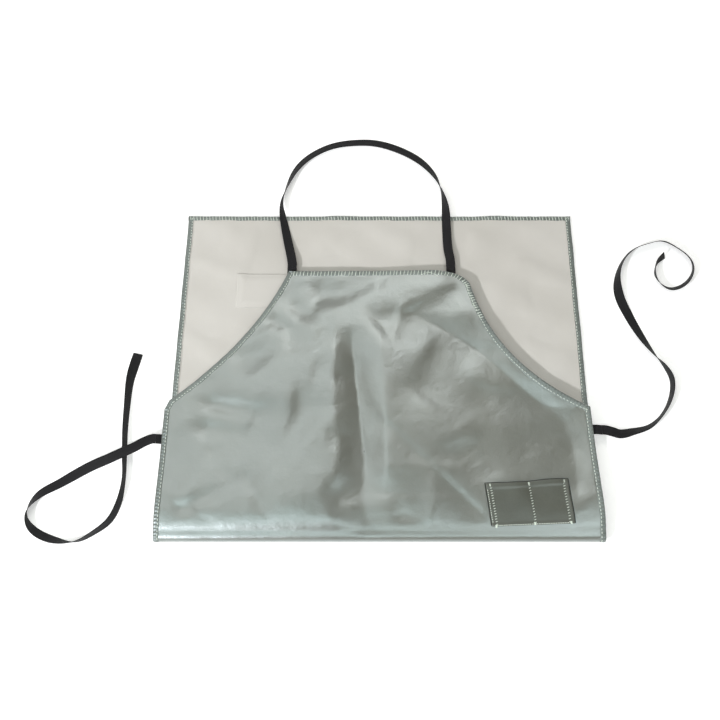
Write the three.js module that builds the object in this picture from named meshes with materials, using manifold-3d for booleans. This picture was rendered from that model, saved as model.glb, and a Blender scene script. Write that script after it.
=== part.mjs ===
// A protective lead apron, folded once across the waist and laid flat with its outside showing.
// Millimetres. +X runs along the fold, +Y runs from the fold to the skirt's hem, +Z is up.
// The origin is the middle of the footprint of the folded apron, on the surface that it lies on.
import * as THREE from 'three';
import { mergeVertices } from 'three/addons/utils/BufferGeometryUtils.js';
import Module from 'manifold-3d';

const wasm = await Module();
wasm.setup();

// ---- Driving dimensions ----
const FOLDED_LENGTH = 505;
const FOLD_HALF_WIDTH = 306;
const HEM_HALF_WIDTH = 298;
const FOLD_RADIUS = 11;
const BIB_SAG = 4;
const BIB_SAG_LENGTH = 120;
const GAP = 0.3;

// Each layer of the apron, as its depth below the outer face: [from, to].
const COVER = [0, 0.7];
const LEAD_FRONT = [1, 1.9];
const LEAD_BACK = [2.2, 3.1];
const LINING = [3.4, 4];
const FULL_DEPTH = [COVER[0], LINING[1]];
const BINDING_CHANNEL = [COVER[1], LINING[0]];
const BINDING_WIDTH = 8;
const BINDING_WALL = 0.7;

const POCKET_PANEL = [-1, -GAP];
const SEAM_THREAD = [-1.6, -1.3];
const SEAM_WIDTH = 1.2;
const PATCH = [LINING[1] + GAP, LINING[1] + 0.8];

const TAPE_WIDTH = 14;
const TAPE_THICKNESS = 1;
const TAPE_STEP = 9;
const SEWN_END = [LINING[1] + GAP, LINING[1] + GAP + TAPE_THICKNESS];
const SEWN_END_PROUD = 8;

// ---- Places worked out from them ----
const Y_FOLD = -FOLDED_LENGTH / 2;
const Y_HEM = FOLDED_LENGTH / 2;
const Y_HINGE = Y_FOLD + FOLD_RADIUS;
const Y_BELOW_FOLD = Y_FOLD - 30;
const FAR = 400;

// Corners of the skirt, the bib and what is sewn on them, seen from above: [x, y].
const SKIRT_WAIST_CORNER = [299.5, -47];
const SIDE_CORNER_LEFT = [-FOLD_HALF_WIDTH, -58];
const ARMHOLE_PULL_LEFT = [-184, 36];
const BIB_CORNER_LEFT = [-137, 151];
const BIB_TOP_RIGHT = [84, 151];
const BIB_CORNER_PULL_RIGHT = [126, 149];
const BIB_CORNER_RIGHT = [136, 127];
const ARMHOLE_PULL_RIGHT = [168, -2];
const SIDE_CORNER_RIGHT = [299, -64];
const POCKET_CORNERS = [[145, -175.5], [259, -168.5], [264, -229], [152, -233]];
const POCKET_DIVIDER = [[204, -172.5], [207, -231]];
const POCKET_SEAM_INSET = 4;
const PATCH_CORNERS = [[-216, 96], [-96, 96], [-96, 152], [-216, 152]];
const NECK_ROOTS_X = [-132.5, 108];
const NECK_ROOT_Y = BIB_CORNER_LEFT[1] + SEWN_END_PROUD;
const NECK_SEWN_LENGTH = 34;
const TIE_ROOT_X = FOLD_HALF_WIDTH + SEWN_END_PROUD;
const TIE_ROOT_Y = { left: -109.5, right: -96.5 };
const TIE_SEWN_LENGTH = 36;

// Routes of the free tapes: [x, y, roll in degrees, height of the tape's lower edge].
// At roll 0 the tape lies flat, and at 90 it stands on its edge.
const ROOT_HEIGHT = 12.7;
const TABLE = 0.2;
const ON_LINING = LINING[1] + GAP;
const NECK_ROUTE = [
  [-132.5, 159.4, 0, ROOT_HEIGHT],
  [-132.5, 164, 0, 12.6],
  [-134, 174, 5, 11.8],
  [-138, 192.5, 20, 8.5],
  [-145, 223.5, 45, 5],
  [-151, 254, 68, ON_LINING],
  [-152.5, 276, 90, 2],
  [-145, 308.5, 122, TABLE],
  [-132, 339.5, 148, TABLE],
  [-112, 362.5, 158, TABLE],
  [-80, 381.5, 163, TABLE],
  [-48, 389, 167, TABLE],
  [-7, 389, 170, TABLE],
  [33, 375.5, 170, TABLE],
  [65, 354.5, 163, TABLE],
  [86, 328, 140, TABLE],
  [97, 299.5, 96, TABLE],
  [102, 275, 55, 1.5],
  [103.5, 254, 28, 4.6],
  [104, 227.5, 15, ON_LINING],
  [105, 192.5, 8, 8.5],
  [107.5, 174, 3, 11.8],
  [108, 164, 0, 12.6],
  [108, 159.4, 0, ROOT_HEIGHT],
];
const LEFT_TIE_ROUTE = [
  [-314.4, -109.5, 0, ROOT_HEIGHT],
  [-319, -109.5, 0, 12.8],
  [-329, -113.5, 0, 13.6],
  [-343, -122, -4, 14.3],
  [-359, -130, -8, 14.5],
  [-376, -137.5, -14, 11.5],
  [-405, -148.5, -20, 4],
  [-444, -169.5, 5, TABLE],
  [-472, -187.5, 25, TABLE],
  [-483, -206, 62, TABLE],
  [-483, -219.5, 90, TABLE],
  [-472, -235.5, 132, TABLE],
  [-447, -248, 140, TABLE],
  [-413, -252, 96, TABLE],
  [-387, -238.5, 78, TABLE],
  [-369, -222.5, 70, TABLE],
  [-359, -198.5, 72, TABLE],
  [-355.5, -166.5, 84, TABLE],
  [-358, -131.5, 76, TABLE],
  [-361, -94.5, 72, TABLE],
  [-362, -57.5, 66, TABLE],
  [-362, -19.5, 50, TABLE],
  [-359, 3.5, 25, TABLE],
  [-355.5, 23, 8, TABLE],
];
const RIGHT_TIE_ROUTE = [
  [314.4, -96.5, 0, ROOT_HEIGHT],
  [319, -96.5, 0, 12.4],
  [329, -98.5, 0, 10.5],
  [341, -101, -8, 7],
  [358, -97.5, -30, 3],
  [383, -90, -55, TABLE],
  [400, -76.5, -76, TABLE],
  [414, -57.5, -78, TABLE],
  [423, -34.5, -76, TABLE],
  [424, -16.5, -80, TABLE],
  [417, 0.5, -92, TABLE],
  [404, 19.5, -124, TABLE],
  [389.5, 46.5, -155, TABLE],
  [374, 83.5, -180, TABLE],
  [362, 116.5, -205, TABLE],
  [361, 144.5, -242, TABLE],
  [371, 171.5, -258, TABLE],
  [390, 192.5, -252, TABLE],
  [414, 203, -248, TABLE],
  [437, 207.5, -244, TABLE],
  [459, 195.5, -240, TABLE],
  [475, 178.5, -244, TABLE],
  [478, 161.5, -262, TABLE],
  [471, 144, -285, TABLE],
  [456, 130.5, -305, TABLE],
  [439, 127, -312, TABLE],
  [425, 136.5, -300, TABLE],
  [419, 153.5, -280, TABLE],
  [424, 170.5, -285, TABLE],
  [437, 183.5, -300, TABLE],
];

// ---- Materials ----
const material = (color, roughness, metalness = 0) =>
  new THREE.MeshStandardMaterial({ color, roughness, metalness });
const coatedFabric = material(0x9ba8a4, 0.45);
const bindingFabric = material(0x8fa19c, 0.5);
const liningFabric = material(0xd9d7d2, 0.7);
const leadSheet = material(0x565b60, 0.6, 0.3);
const thread = material(0xd4dbd0, 0.8);
const blackTape = material(0x141414, 0.7);

// ---- Solids ----
function toSolid(geometry) {
  geometry.deleteAttribute('normal');
  geometry.deleteAttribute('uv');
  const merged = mergeVertices(geometry, 1e-4);
  const vertProperties = new Float32Array(merged.attributes.position.array);
  const triVerts = new Uint32Array(merged.index.array);
  return new wasm.Manifold(new wasm.Mesh({ numProp: 3, vertProperties, triVerts }));
}

function toGeometry(solid) {
  const mesh = solid.getMesh();
  const geometry = new THREE.BufferGeometry();
  geometry.setAttribute('position', new THREE.BufferAttribute(mesh.vertProperties, 3));
  geometry.setIndex(new THREE.BufferAttribute(mesh.triVerts, 1));
  geometry.computeVertexNormals();
  return geometry;
}

const toVectors = (pairs) => pairs.map(([x, y]) => new THREE.Vector2(x, y));

// A wall that stands on the outline, tall enough to cut any layer.
function prism(outline) {
  const height = 60;
  const geometry = new THREE.ExtrudeGeometry(new THREE.Shape(outline), { depth: height, bevelEnabled: false });
  return toSolid(geometry.translate(0, 0, -height / 4));
}

const block = (x0, x1, y0, y1) => prism(toVectors([[x0, y0], [x1, y0], [x1, y1], [x0, y1]]));

// A profile in Y and Z, run along X from one side of the apron to the other.
function runAcross(profile, halfWidth = FAR) {
  const depth = 2 * halfWidth;
  const geometry = new THREE.ExtrudeGeometry(new THREE.Shape(toVectors(profile)), { depth, bevelEnabled: false });
  const alongX = new THREE.Matrix4().makeBasis(
    new THREE.Vector3(0, 1, 0),
    new THREE.Vector3(0, 0, 1),
    new THREE.Vector3(1, 0, 0),
  );
  return toSolid(geometry.applyMatrix4(alongX).translate(-halfWidth, 0, 0));
}

// Moves every corner of an outline inwards, so that each edge moves by the same distance.
function inset(outline, distance) {
  const turn = Math.sign(THREE.ShapeUtils.area(outline));
  return outline.map((corner, i) => {
    const arriving = corner.clone().sub(outline.at(i - 1)).normalize();
    const leaving = outline[(i + 1) % outline.length].clone().sub(corner).normalize();
    const inwards = new THREE.Vector2(-arriving.y - leaving.y, arriving.x + leaving.x);
    inwards.multiplyScalar(turn).setLength(distance / Math.sqrt((1 + arriving.dot(leaving)) / 2));
    return corner.clone().add(inwards);
  });
}

// ---- The three stretches of the apron: skirt, fold and bib ----
function skirtLayer([from, to]) {
  const start = Y_HINGE + GAP;
  return runAcross([[start, from], [FAR, from], [FAR, to], [start, to]]);
}

function foldLayer([from, to], halfWidth) {
  const segments = 18;
  const arc = (depth, i) => {
    const angle = (i / segments) * Math.PI;
    const radius = FOLD_RADIUS - depth;
    return [Y_HINGE - radius * Math.sin(angle), FOLD_RADIUS - radius * Math.cos(angle)];
  };
  const steps = Array.from({ length: segments + 1 }, (_, i) => i);
  const outer = steps.map((i) => arc(from, i));
  const inner = steps.map((i) => arc(to, i)).reverse();
  return runAcross([...outer, ...inner], halfWidth);
}

// Height of the bib's outer face. It settles towards the skirt just above the fold.
function bibTop(y) {
  const t = THREE.MathUtils.smoothstep(y, Y_HINGE, Y_HINGE + BIB_SAG_LENGTH);
  return 2 * FOLD_RADIUS - BIB_SAG * t;
}

function bibLayer([from, to]) {
  const steps = 10;
  const ys = Array.from({ length: steps + 1 }, (_, i) => Y_HINGE + GAP + (i / steps) * BIB_SAG_LENGTH);
  ys.push(FAR);
  const upper = ys.map((y) => [y, bibTop(y) - from]);
  const lower = ys.map((y) => [y, bibTop(y) - to]).reverse();
  return runAcross([...upper, ...lower]);
}

function skirtOutline() {
  const [waistX, waistY] = SKIRT_WAIST_CORNER;
  const right = [[FOLD_HALF_WIDTH, Y_BELOW_FOLD], [FOLD_HALF_WIDTH, Y_HINGE], [waistX, waistY], [HEM_HALF_WIDTH, Y_HEM]];
  const left = right.map(([x, y]) => [-x, y]).reverse();
  return toVectors([...right, ...left]);
}

function bibOutline() {
  const curveSteps = 12;
  const shape = new THREE.Shape();
  shape.moveTo(-FOLD_HALF_WIDTH, Y_BELOW_FOLD);
  shape.lineTo(FOLD_HALF_WIDTH, Y_BELOW_FOLD);
  shape.lineTo(FOLD_HALF_WIDTH, Y_HINGE);
  shape.lineTo(...SIDE_CORNER_RIGHT);
  shape.quadraticCurveTo(...ARMHOLE_PULL_RIGHT, ...BIB_CORNER_RIGHT);
  shape.quadraticCurveTo(...BIB_CORNER_PULL_RIGHT, ...BIB_TOP_RIGHT);
  shape.lineTo(...BIB_CORNER_LEFT);
  shape.quadraticCurveTo(...ARMHOLE_PULL_LEFT, ...SIDE_CORNER_LEFT);
  return shape.getPoints(curveSteps);
}

// ---- Pieces ----
const apron = new THREE.Group();

function addPiece(name, solid, look) {
  const mesh = new THREE.Mesh(toGeometry(solid), look);
  mesh.name = name;
  apron.add(mesh);
}

// The sheets of a stretch, from the outer cover to the lining, trimmed to the outline.
function addSheets(stretch, layer, outline) {
  const betweenBindings = prism(inset(outline, BINDING_WIDTH + GAP));
  const insideBindings = prism(inset(outline, BINDING_WALL + GAP));
  addPiece(`${stretch}_outer_cover`, layer(COVER).intersect(betweenBindings), coatedFabric);
  addPiece(`${stretch}_lead_sheet_front`, layer(LEAD_FRONT).intersect(insideBindings), leadSheet);
  addPiece(`${stretch}_lead_sheet_back`, layer(LEAD_BACK).intersect(insideBindings), leadSheet);
  addPiece(`${stretch}_lining`, layer(LINING).intersect(betweenBindings), liningFabric);
}

// The edge binding is a channel that wraps the lead sheets' edges, cut to lengths by blocks.
function addBindings(layer, outline, lengths) {
  const edge = prism(outline).subtract(prism(inset(outline, BINDING_WIDTH)));
  const inside = prism(inset(outline, BINDING_WALL));
  const channel = layer(FULL_DEPTH).intersect(edge).subtract(layer(BINDING_CHANNEL).intersect(inside));
  for (const [name, region] of Object.entries(lengths)) {
    addPiece(name, channel.intersect(region), bindingFabric);
  }
}

function addSkirt() {
  const outline = skirtOutline();
  const hemStart = Y_HEM - BINDING_WIDTH;
  const sideEnd = hemStart - GAP;
  addSheets('skirt', skirtLayer, outline);
  addBindings(skirtLayer, outline, {
    skirt_side_binding_left: block(-FAR, 0, -FAR, sideEnd),
    skirt_side_binding_right: block(0, FAR, -FAR, sideEnd),
    skirt_hem_binding: block(-FAR, FAR, hemStart, FAR),
  });
  addPiece('lining_patch', skirtLayer(PATCH).intersect(prism(toVectors(PATCH_CORNERS))), liningFabric);
}

function addFold() {
  const betweenBindings = FOLD_HALF_WIDTH - BINDING_WIDTH - GAP;
  const insideBindings = FOLD_HALF_WIDTH - BINDING_WALL;
  addPiece('fold_outer_cover', foldLayer(COVER, betweenBindings), coatedFabric);
  addPiece('fold_lead_sheet_front', foldLayer(LEAD_FRONT, insideBindings - GAP), leadSheet);
  addPiece('fold_lead_sheet_back', foldLayer(LEAD_BACK, insideBindings - GAP), leadSheet);
  addPiece('fold_lining', foldLayer(LINING, betweenBindings), liningFabric);
  const channel = foldLayer(FULL_DEPTH, FOLD_HALF_WIDTH).subtract(foldLayer(BINDING_CHANNEL, insideBindings));
  const inner = FOLD_HALF_WIDTH - BINDING_WIDTH;
  addPiece('fold_binding_left', channel.intersect(block(-FAR, -inner, -FAR, FAR)), bindingFabric);
  addPiece('fold_binding_right', channel.intersect(block(inner, FAR, -FAR, FAR)), bindingFabric);
}

function addBib() {
  const outline = bibOutline();
  const topStart = BIB_CORNER_LEFT[1] - BINDING_WIDTH;
  const armholeEnd = topStart - GAP;
  const armholeStart = SIDE_CORNER_LEFT[1];
  const sideEnd = armholeStart - GAP;
  addSheets('bib', bibLayer, outline);
  addBindings(bibLayer, outline, {
    bib_top_binding: block(-FAR, FAR, topStart, FAR),
    armhole_binding_left: block(-FAR, 0, armholeStart, armholeEnd),
    armhole_binding_right: block(0, FAR, armholeStart, armholeEnd),
    bib_side_binding_left: block(-FAR, 0, -FAR, sideEnd),
    bib_side_binding_right: block(0, FAR, -FAR, sideEnd),
  });
}

// A straight seam between two points, as a narrow standing wall.
function seamWall([x0, y0], [x1, y1]) {
  const along = new THREE.Vector2(x1 - x0, y1 - y0).setLength(SEAM_WIDTH / 2);
  const side = [-along.y, along.x];
  const corner = (x, y, end, across) => [x + end * along.x + across * side[0], y + end * along.y + across * side[1]];
  return prism(toVectors([corner(x0, y0, -1, 1), corner(x0, y0, -1, -1), corner(x1, y1, 1, -1), corner(x1, y1, 1, 1)]));
}

// The pocket is open at its top edge. Its seams run down both sides, along the bottom and down the middle.
function addPocket() {
  const outline = toVectors(POCKET_CORNERS);
  addPiece('pocket_panel', bibLayer(POCKET_PANEL).intersect(prism(outline)), coatedFabric);
  const [topLeft, topRight, bottomRight, bottomLeft] = inset(outline, POCKET_SEAM_INSET).map((p) => p.toArray());
  const seams = seamWall(topLeft, bottomLeft)
    .add(seamWall(bottomLeft, bottomRight))
    .add(seamWall(bottomRight, topRight));
  const [dividerTop, dividerBottom] = POCKET_DIVIDER;
  const divider = seamWall([dividerTop[0], dividerTop[1] - POCKET_SEAM_INSET], dividerBottom)
    .intersect(prism(inset(outline, POCKET_SEAM_INSET - SEAM_WIDTH / 2)));
  addPiece('pocket_seam_thread', bibLayer(SEAM_THREAD).intersect(seams.add(divider)), thread);
}

// The end of each tape that is sewn flat on the lining, under the edge that the tape leaves.
function addSewnEnds() {
  const half = TAPE_WIDTH / 2;
  for (const [side, x] of Object.entries({ left: NECK_ROOTS_X[0], right: NECK_ROOTS_X[1] })) {
    const place = block(x - half, x + half, NECK_ROOT_Y - NECK_SEWN_LENGTH, NECK_ROOT_Y);
    addPiece(`neck_strap_sewn_end_${side}`, bibLayer(SEWN_END).intersect(place), blackTape);
  }
  for (const [side, sign] of Object.entries({ left: -1, right: 1 })) {
    const y = TIE_ROOT_Y[side];
    const ends = [sign * (TIE_ROOT_X - TIE_SEWN_LENGTH), sign * TIE_ROOT_X].sort((a, b) => a - b);
    addPiece(`${side}_tie_sewn_end`, bibLayer(SEWN_END).intersect(block(...ends, y - half, y + half)), blackTape);
  }
}

// A flat tape along a route. Its section turns about the route by the roll at each point.
function tapeSolid(route) {
  const rise = (roll) => (TAPE_WIDTH * Math.abs(Math.sin(roll)) + TAPE_THICKNESS * Math.abs(Math.cos(roll))) / 2;
  const spots = route.map(([x, y, degrees, low]) => {
    const roll = THREE.MathUtils.degToRad(degrees);
    return { place: new THREE.Vector3(x, y, low + rise(roll)), roll: new THREE.Vector3(roll, 0, 0) };
  });
  const line = new THREE.CatmullRomCurve3(spots.map((s) => s.place), false, 'centripetal');
  const rolls = new THREE.CatmullRomCurve3(spots.map((s) => s.roll), false, 'catmullrom', 0);
  const steps = Math.round(line.getLength() / TAPE_STEP);
  const positions = [];
  for (let i = 0; i <= steps; i += 1) {
    const t = line.getUtoTmapping(i / steps);
    const centre = line.getPoint(t);
    const tangent = line.getTangent(t);
    const roll = rolls.getPoint(t).x;
    const level = new THREE.Vector3(tangent.y, -tangent.x, 0).normalize();
    const across = level.applyAxisAngle(tangent, roll);
    const normal = new THREE.Vector3().crossVectors(across, tangent).normalize();
    for (const [w, n] of [[-1, -1], [1, -1], [1, 1], [-1, 1]]) {
      const corner = centre.clone().addScaledVector(across, (w * TAPE_WIDTH) / 2);
      positions.push(...corner.addScaledVector(normal, (n * TAPE_THICKNESS) / 2).toArray());
    }
  }
  const triangles = [];
  const quad = (a, b, c, d) => triangles.push(a, b, c, a, c, d);
  for (let i = 0; i < steps; i += 1) {
    for (let side = 0; side < 4; side += 1) {
      const next = (side + 1) % 4;
      quad(4 * i + next, 4 * i + side, 4 * i + 4 + side, 4 * i + 4 + next);
    }
  }
  const last = 4 * steps;
  quad(0, 1, 2, 3);
  quad(last + 3, last + 2, last + 1, last);
  const geometry = new THREE.BufferGeometry();
  geometry.setAttribute('position', new THREE.Float32BufferAttribute(positions, 3));
  geometry.setIndex(triangles);
  return toSolid(geometry);
}

addSkirt();
addFold();
addBib();
addPocket();
addSewnEnds();
addPiece('neck_strap_tape', tapeSolid(NECK_ROUTE), blackTape);
addPiece('left_tie_tape', tapeSolid(LEFT_TIE_ROUTE), blackTape);
addPiece('right_tie_tape', tapeSolid(RIGHT_TIE_ROUTE), blackTape);

export default apron;
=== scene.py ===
"""The looks of a folded lead apron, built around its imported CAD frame.

Lengths are in millimetres, and become metres where a mesh or a light is made. The apron is drawn on its
flat pattern: X runs across the wearer's width and V along the apron, from the skirt's hem (0) round the
fold to the bib's top. surface(X, V, h) gives the place of a pattern point, h above the middle of the cloth
on the cover's side."""
import math

import bpy
import numpy as np
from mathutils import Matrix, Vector


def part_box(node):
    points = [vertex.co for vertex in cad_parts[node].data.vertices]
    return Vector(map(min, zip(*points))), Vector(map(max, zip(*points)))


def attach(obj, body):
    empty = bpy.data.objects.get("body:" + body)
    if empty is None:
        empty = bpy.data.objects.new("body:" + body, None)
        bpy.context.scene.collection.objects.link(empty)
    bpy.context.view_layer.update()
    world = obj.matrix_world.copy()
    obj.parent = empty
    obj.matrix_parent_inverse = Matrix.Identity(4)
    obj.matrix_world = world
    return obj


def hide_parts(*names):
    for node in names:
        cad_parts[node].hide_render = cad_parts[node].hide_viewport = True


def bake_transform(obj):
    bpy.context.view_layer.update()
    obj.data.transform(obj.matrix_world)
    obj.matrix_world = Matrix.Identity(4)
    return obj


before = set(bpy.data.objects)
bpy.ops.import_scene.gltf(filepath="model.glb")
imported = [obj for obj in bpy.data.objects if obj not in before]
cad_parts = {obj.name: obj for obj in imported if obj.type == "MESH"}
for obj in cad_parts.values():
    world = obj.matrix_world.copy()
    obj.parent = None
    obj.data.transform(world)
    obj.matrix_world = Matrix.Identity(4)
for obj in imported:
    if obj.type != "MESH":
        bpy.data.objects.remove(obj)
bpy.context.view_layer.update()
MM = 0.001


def low(node):
    return [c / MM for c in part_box(node)[0]]


def high(node):
    return [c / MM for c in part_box(node)[1]]


# ---- Places taken from the frame ----
Y_HEM = high("skirt_hem_binding")[1]
Y_FOLD = low("fold_outer_cover")[1]
Y_TOP = high("bib_top_binding")[1]
HEM_HALF = high("skirt_hem_binding")[0]
FOLD_HALF = high("fold_binding_right")[0]
BIB_LEFT_SIDE = low("bib_side_binding_left")[0]

# ---- The pattern's corners, seen from above: [x, y] ----
SKIRT_WAIST_CORNER = (299.5, -47)
SIDE_CORNER_LEFT = (BIB_LEFT_SIDE, -58)
CORNER_CUT = 9
CORNER_DEPTH = 26.0
ARMHOLE_PULL_LEFT = (-184, 36)
BIB_CORNER_LEFT = (-137, Y_TOP)
BIB_TOP_RIGHT = (84, Y_TOP)
BIB_CORNER_PULL_RIGHT = (126, Y_TOP - 2)
BIB_CORNER_RIGHT = (136, 127)
ARMHOLE_PULL_RIGHT = (168, -2)
SIDE_CORNER_RIGHT = (299, -64)
POCKET_CORNERS = ((145, -175.5), (259, -168.5), (264, -229), (152, -233))
PATCH_CORNERS = ((-216, 96), (-96, 96), (-96, 152), (-216, 152))
PATCH_WIDTH = 120
PATCH_HEIGHT = 56

# ---- Cloth ----
HALF_THICK = 2.0
BINDING_WIDTH = 8.0
BINDING_PROUD = 0.35
GATHER_DEPTH = 0.26
SKIRT_MID = HALF_THICK + BINDING_PROUD + 0.2
LOWER_Y = Y_FOLD + 13
RAMP_Y = Y_FOLD + 14
RAMP_Z = 15.2
UPPER_Y = Y_FOLD + 36
TIP_Y = Y_FOLD + HALF_THICK
TIP_Z = 10.5
RAMP_EASE = 1.6
BIB_MID_HIGH = 20.0
BIB_CREST = 21.0
BIB_MID_LOW = 16.0
BIB_SAG_LENGTH = 100

# ---- Tape ----
TAPE_WIDTH = 14.0
TAPE_THICKNESS = 1.0
SEWN_LENGTH = 34.0
SEWN_END_PROUD = 8.0
ROOT_HEIGHT = 12.7
TABLE = 0.2
ON_LINING = 4.9

# Routes: (x, y, roll in degrees, height of the lower edge), which is TABLE where it is left out.
NECK_ROUTE = (
    (-132.5, 159.4, 0, ROOT_HEIGHT), (-132.5, 164, 0, 12.6), (-134, 174, 5, 11.8), (-138, 192.5, 12, 8.5),
    (-145, 223.5, 26, 5.2), (-151, 254, 52, ON_LINING), (-152.5, 276, 84, 2), (-145, 308.5, 122),
    (-132, 339.5, 148), (-112, 362.5, 158), (-80, 381.5, 163), (-48, 389, 167), (-7, 389, 170),
    (33, 375.5, 170), (65, 354.5, 163), (86, 328, 140), (97, 299.5, 96), (102, 275, 55, 1.5),
    (103.5, 254, 28, 5.2), (104, 227.5, 15, ON_LINING), (105, 192.5, 8, 8.5), (107.5, 174, 3, 11.8),
    (108, 164, 0, 12.6), (108, 159.4, 0, ROOT_HEIGHT),
)
LEFT_TIE_ROUTE = (
    (-314.4, -109.5, 0, ROOT_HEIGHT), (-319, -109.5, 0, 12.8), (-329, -113.5, 0, 13.6),
    (-343, -122, -4, 14.3), (-359, -130, -8, 14.5), (-376, -137.5, -14, 11.5), (-405, -148.5, -20, 4),
    (-444, -169.5, 5), (-472, -187.5, 25), (-483, -206, 62), (-483, -219.5, 90), (-472, -235.5, 132),
    (-447, -248, 140), (-413, -252, 96), (-387, -238.5, 78), (-369, -222.5, 70), (-359, -198.5, 72),
    (-355.5, -166.5, 84), (-358, -131.5, 76), (-361, -94.5, 72), (-362, -57.5, 66), (-362, -19.5, 50),
    (-359, 3.5, 25), (-355.5, 23, 8),
)
RIGHT_TIE_ROUTE = (
    (314.4, -96.5, 0, ROOT_HEIGHT), (319, -96.5, 0, 12.4), (329, -98.5, 0, 10.5), (341, -101, -8, 7),
    (358, -97.5, -30, 3), (383, -90, -55), (400, -76.5, -76), (414, -57.5, -78), (423, -34.5, -76),
    (424, -16.5, -80), (417, 0.5, -92), (404, 19.5, -124), (389.5, 46.5, -155), (374, 83.5, -180),
    (362, 116.5, -205), (361, 144.5, -242), (371, 171.5, -258), (390, 192.5, -252), (414, 203, -248),
    (437, 207.5, -244), (459, 195.5, -240), (475, 178.5, -244), (478, 161.5, -262), (471, 144, -285),
    (456, 130.5, -305), (439, 127, -312), (425, 136.5, -300), (419, 153.5, -280), (424, 170.5, -285),
    (437, 183.5, -300),
)

# ---- Camera: fitted to the straight hem, sides and fold ----
CAMERA_BEFORE_FOLD = 180.4
CAMERA_HEIGHT = 1182.3
CAMERA_TILT = 20.7
CAMERA_LENS = 42.95
CAMERA_SHIFT = -0.0271


def add_camera():
    data = bpy.data.cameras.new("camera")
    data.lens = CAMERA_LENS
    data.sensor_width = 36
    data.shift_x = CAMERA_SHIFT
    data.clip_end = 50
    camera = bpy.data.objects.new("camera", data)
    camera.location = (0, (Y_FOLD - CAMERA_BEFORE_FOLD) * MM, CAMERA_HEIGHT * MM)
    camera.rotation_euler = (math.radians(CAMERA_TILT), 0, 0)
    bpy.context.collection.objects.link(camera)
    bpy.context.scene.camera = camera


# ---- Small helpers ----
def smoothstep(t):
    t = np.clip(t, 0, 1)
    return t * t * (3 - 2 * t)


def add_mesh(name, points, faces, material, uv=None, smooth=True):
    """A mesh object from points in millimetres. uv gives every point its place on the pattern."""
    mesh = bpy.data.meshes.new(name)
    mesh.from_pydata((np.asarray(points, float) * MM).tolist(), [], [list(map(int, f)) for f in faces])
    mesh.polygons.foreach_set("use_smooth", [smooth] * len(mesh.polygons))
    if uv is not None:
        layer = mesh.uv_layers.new(name="pattern")
        corner = np.empty(len(mesh.loops), int)
        mesh.loops.foreach_get("vertex_index", corner)
        layer.data.foreach_set("uv", (np.asarray(uv, float)[corner] * MM).ravel())
    mesh.materials.append(material)
    mesh.update()
    piece = bpy.data.objects.new(name, mesh)
    bpy.context.collection.objects.link(piece)
    return piece


def grid_faces(rows, cols, first=0, closed=False):
    """Quads of a grid of rows x cols points. closed joins the last column to the first."""
    faces = []
    for i in range(rows - 1):
        for j in range(cols if closed else cols - 1):
            k = (j + 1) % cols
            a, b = first + i * cols + j, first + i * cols + k
            faces.append((a, b, b + cols, a + cols))
    return faces


def end_caps(rows, cols, first=0):
    """The faces over the two ends of a tube of rows rings of cols points."""
    last = first + (rows - 1) * cols
    return [tuple(range(first, first + cols)), tuple(reversed(range(last, last + cols)))]


def slab_faces(rows, cols):
    """Faces of a grid, of the same grid behind it, and of the walls between their rims."""
    count = rows * cols
    top = grid_faces(rows, cols)
    back = [tuple(i + count for i in reversed(f)) for f in top]
    rim = list(range(cols))
    rim += [i * cols + cols - 1 for i in range(1, rows)]
    rim += [(rows - 1) * cols + j for j in range(cols - 2, -1, -1)]
    rim += [i * cols for i in range(rows - 2, 0, -1)]
    return top + back + [(b, a, a + count, b + count) for a, b in zip(rim, rim[1:] + rim[:1])]


# ---- Materials: lengths in metres ----
COVER_THREAD_PITCH = 0.0011
LINING_THREAD_PITCH = 0.0009
TAPE_RIB_PITCH = 0.0014


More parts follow.
